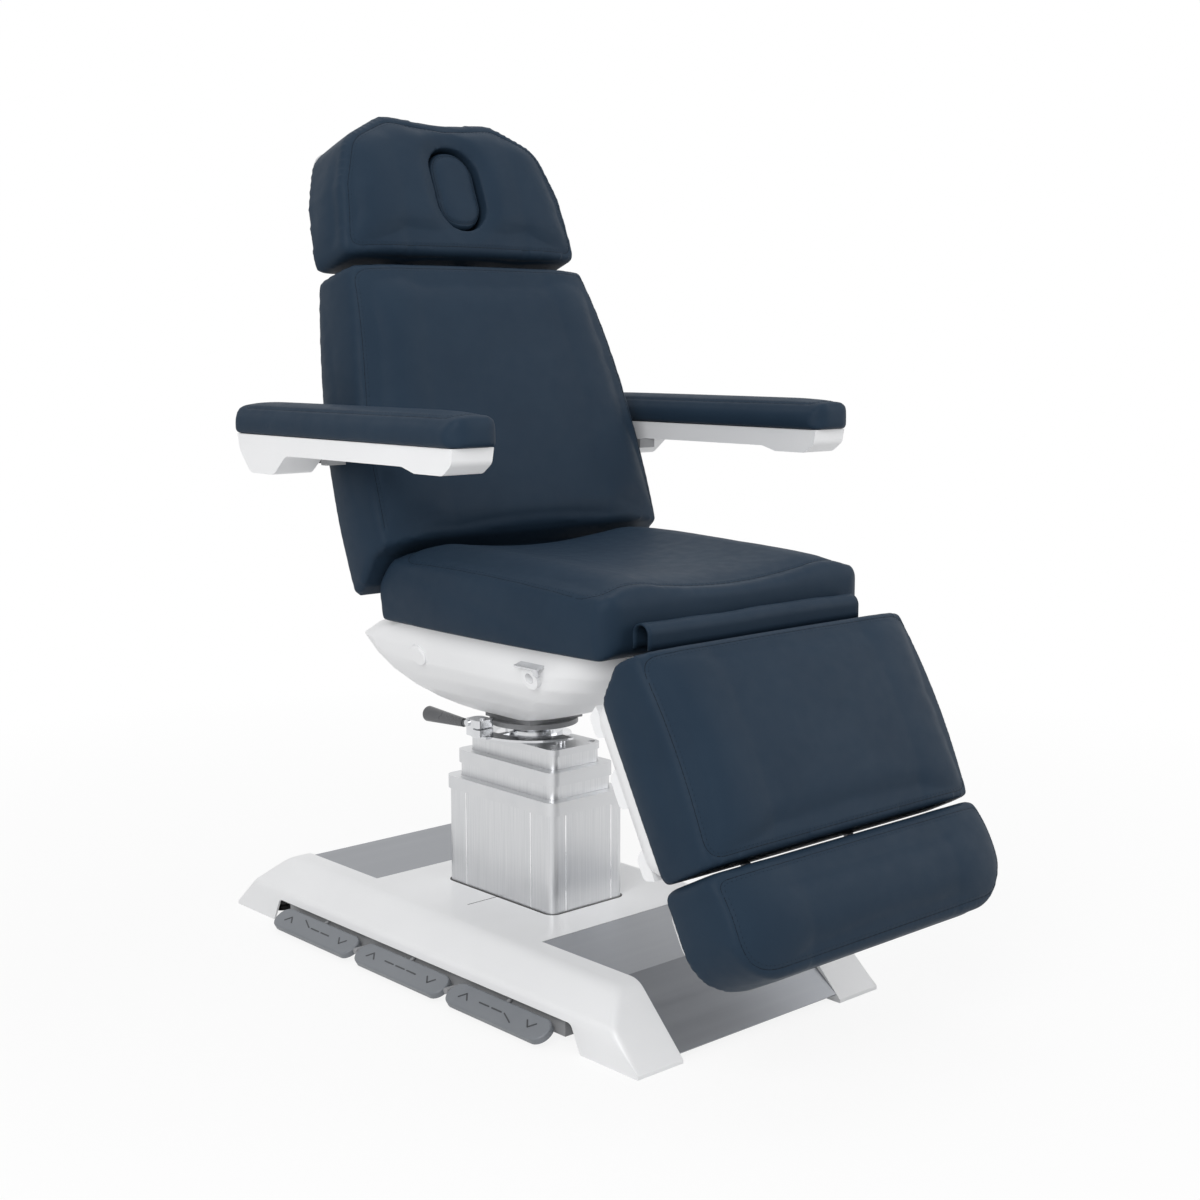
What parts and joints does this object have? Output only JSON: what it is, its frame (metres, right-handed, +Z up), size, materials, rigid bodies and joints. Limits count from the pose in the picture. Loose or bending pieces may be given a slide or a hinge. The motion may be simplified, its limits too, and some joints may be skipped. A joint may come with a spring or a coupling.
{
  "type": "treatment chair",
  "caption": "Electric treatment chair on a telescoping swivel column, with hinged back, head, arm and leg sections, sliding foot section and rocker foot pedals.",
  "frame": {"origin": "on the floor, under the middle of the chair's outline in its stored pose; the column and swivel axis stands at y = 0.1252 m", "axes": "+Z up, -Y the way the patient faces, +X the patient's left"},
  "size_m": [0.8958, 1.3894, 1.4934],
  "materials": {
    "upholstery": "satin",
    "vinyl": "satin",
    "white_plastic": "satin",
    "brushed_plate": "brushed",
    "aluminium": "brushed",
    "grey_plastic": "satin",
    "grey_steel": "painted",
    "chrome": "polished",
    "dark_plastic": "satin",
    "rubber": "matte",
    "black_case": "matte",
    "glide_plastic": "satin",
    "plywood": "raw"
  },
  "bodies": {
    "base": {"base_cover": "white_plastic", "front_plate": "brushed_plate", "rear_plate": "brushed_plate", "base_frame": "grey_steel", "levelling_feet": "rubber", "control_box": "black_case", "pedal_bar": "grey_steel", "column_outer": "aluminium", "outer_collar": "aluminium", "lift_base_rod": "grey_steel"},
    "back_pedal": {"pedal_back": "grey_plastic"},
    "lift_pedal": {"pedal_lift": "grey_plastic"},
    "leg_pedal": {"pedal_leg": "grey_plastic"},
    "lift_middle": {"column_middle": "aluminium", "middle_collar": "aluminium", "middle_glides": "glide_plastic", "lift_sleeve": "grey_steel"},
    "lift_inner": {"column_inner": "aluminium", "inner_glides": "glide_plastic", "column_head": "aluminium", "lift_motor": "black_case", "swivel_hub": "grey_steel", "lock_bracket": "chrome"},
    "lock_lever": {"lock_clamp": "chrome", "lock_handle": "dark_plastic"},
    "seat": {"swivel_plate": "grey_steel", "seat_frame": "grey_steel", "seat_board": "plywood", "seat_cushion": "upholstery", "seat_hull": "white_plastic", "hull_caps": "white_plastic", "side_sockets": "white_plastic", "socket_clips": "chrome", "back_hinge_pins": "grey_steel", "leg_hinge_tube": "grey_steel", "gap_flap": "vinyl", "back_drive": "black_case", "leg_drive": "black_case"},
    "back_rod": {"back_drive_rod": "grey_steel"},
    "leg_rod": {"leg_drive_rod": "grey_steel"},
    "back": {"back_frame": "grey_steel", "back_shell": "white_plastic", "back_cushion": "upholstery", "head_bars": "grey_steel"},
    "head": {"head_frame": "grey_steel", "head_shell": "white_plastic", "head_cushion": "upholstery"},
    "plug": {"face_plug": "upholstery"},
    "arm_stop_left": {"arm_bracket_left": "grey_steel"},
    "arm_stop_right": {"arm_bracket_right": "grey_steel"},
    "arm_left": {"arm_support_left": "white_plastic", "arm_pad_left": "upholstery"},
    "arm_right": {"arm_support_right": "white_plastic", "arm_pad_right": "upholstery"},
    "leg": {"leg_frame": "grey_steel", "leg_shell": "white_plastic", "leg_cushion": "upholstery"},
    "foot": {"foot_rails": "grey_steel", "foot_shell": "white_plastic", "foot_cushion": "upholstery"}
  },
  "joints": [
    {"name": "back_pedal_rock", "type": "hinge", "parent": "base", "child": "back_pedal", "pos_m": [-0.30192, 0.3892, 0.0233], "axis": [0.866, 0, 0.5], "range_deg": [-3, 3], "stiffness_Nm_per_rad": 25},
    {"name": "lift_pedal_rock", "type": "hinge", "parent": "base", "child": "lift_pedal", "pos_m": [-0.30192, 0.1252, 0.0233], "axis": [0.866, 0, 0.5], "range_deg": [-3, 3], "stiffness_Nm_per_rad": 25},
    {"name": "leg_pedal_rock", "type": "hinge", "parent": "base", "child": "leg_pedal", "pos_m": [-0.30192, -0.1388, 0.0233], "axis": [0.866, 0, 0.5], "range_deg": [-3, 3], "stiffness_Nm_per_rad": 25},
    {"name": "lift_lower", "type": "slide", "parent": "base", "child": "lift_middle", "axis": [0, 0, 1], "range_m": [0, 0.15]},
    {"name": "lift_upper", "type": "slide", "parent": "lift_middle", "child": "lift_inner", "axis": [0, 0, 1], "range_m": [0, 0.15]},
    {"name": "lock_swing", "type": "hinge", "parent": "lift_inner", "child": "lock_lever", "pos_m": [-0.11, 0.1452, 0.416], "axis": [0, 0, 1], "range_deg": [0, 35]},
    {"name": "seat_swivel", "type": "hinge", "parent": "lift_inner", "child": "seat", "pos_m": [0, 0.1252, 0.42], "axis": [0, 0, 1], "range_deg": [-120, 120]},
    {"name": "back_recline", "type": "hinge", "parent": "seat", "child": "back", "pos_m": [0, 0.2302, 0.63], "axis": [-1, 0, 0], "range_deg": [0, 72.5]},
    {"name": "back_rod_slide", "type": "slide", "parent": "seat", "child": "back_rod", "axis": [0, -1, 0], "range_m": [0, 0.084]},
    {"name": "head_tilt", "type": "hinge", "parent": "back", "child": "head", "pos_m": [0, 0.40812, 1.20092], "axis": [-1, 0, 0], "range_deg": [-5, 40]},
    {"name": "plug_slide", "type": "slide", "parent": "head", "child": "plug", "axis": [0, -0.9367, 0.3502], "range_m": [0, 0.13]},
    {"name": "arm_level_left", "type": "hinge", "parent": "back", "child": "arm_stop_left", "pos_m": [0.347, 0.31645, 0.90688], "axis": [-1, 0, 0], "range_deg": [-72.5, 0]},
    {"name": "arm_level_right", "type": "hinge", "parent": "back", "child": "arm_stop_right", "pos_m": [-0.347, 0.31645, 0.90688], "axis": [-1, 0, 0], "range_deg": [-72.5, 0]},
    {"name": "arm_swing_left", "type": "hinge", "parent": "arm_stop_left", "child": "arm_left", "pos_m": [0.371, 0.31645, 0.90688], "axis": [-1, 0, 0], "range_deg": [0, 90]},
    {"name": "arm_swing_right", "type": "hinge", "parent": "arm_stop_right", "child": "arm_right", "pos_m": [-0.371, 0.31645, 0.90688], "axis": [-1, 0, 0], "range_deg": [0, 90]},
    {"name": "leg_lift", "type": "hinge", "parent": "seat", "child": "leg", "pos_m": [0, -0.4048, 0.649], "axis": [-1, 0, 0], "range_deg": [0, 62.1]},
    {"name": "leg_rod_slide", "type": "slide", "parent": "seat", "child": "leg_rod", "axis": [0, -1, 0], "range_m": [0, 0.084]},
    {"name": "foot_slide", "type": "slide", "parent": "leg", "child": "foot", "axis": [0, -0.4679, -0.8838], "range_m": [0, 0.12]}
  ],
  "couplings": [
    {"joint": "lift_upper", "follows": "lift_lower", "ratio": 1},
    {"joint": "back_rod_slide", "follows": "back_recline", "m_per_rad": 0.065989},
    {"joint": "leg_rod_slide", "follows": "leg_lift", "m_per_rad": 0.076394},
    {"joint": "arm_level_left", "follows": "back_recline", "ratio": -1},
    {"joint": "arm_level_right", "follows": "back_recline", "ratio": -1}
  ]
}
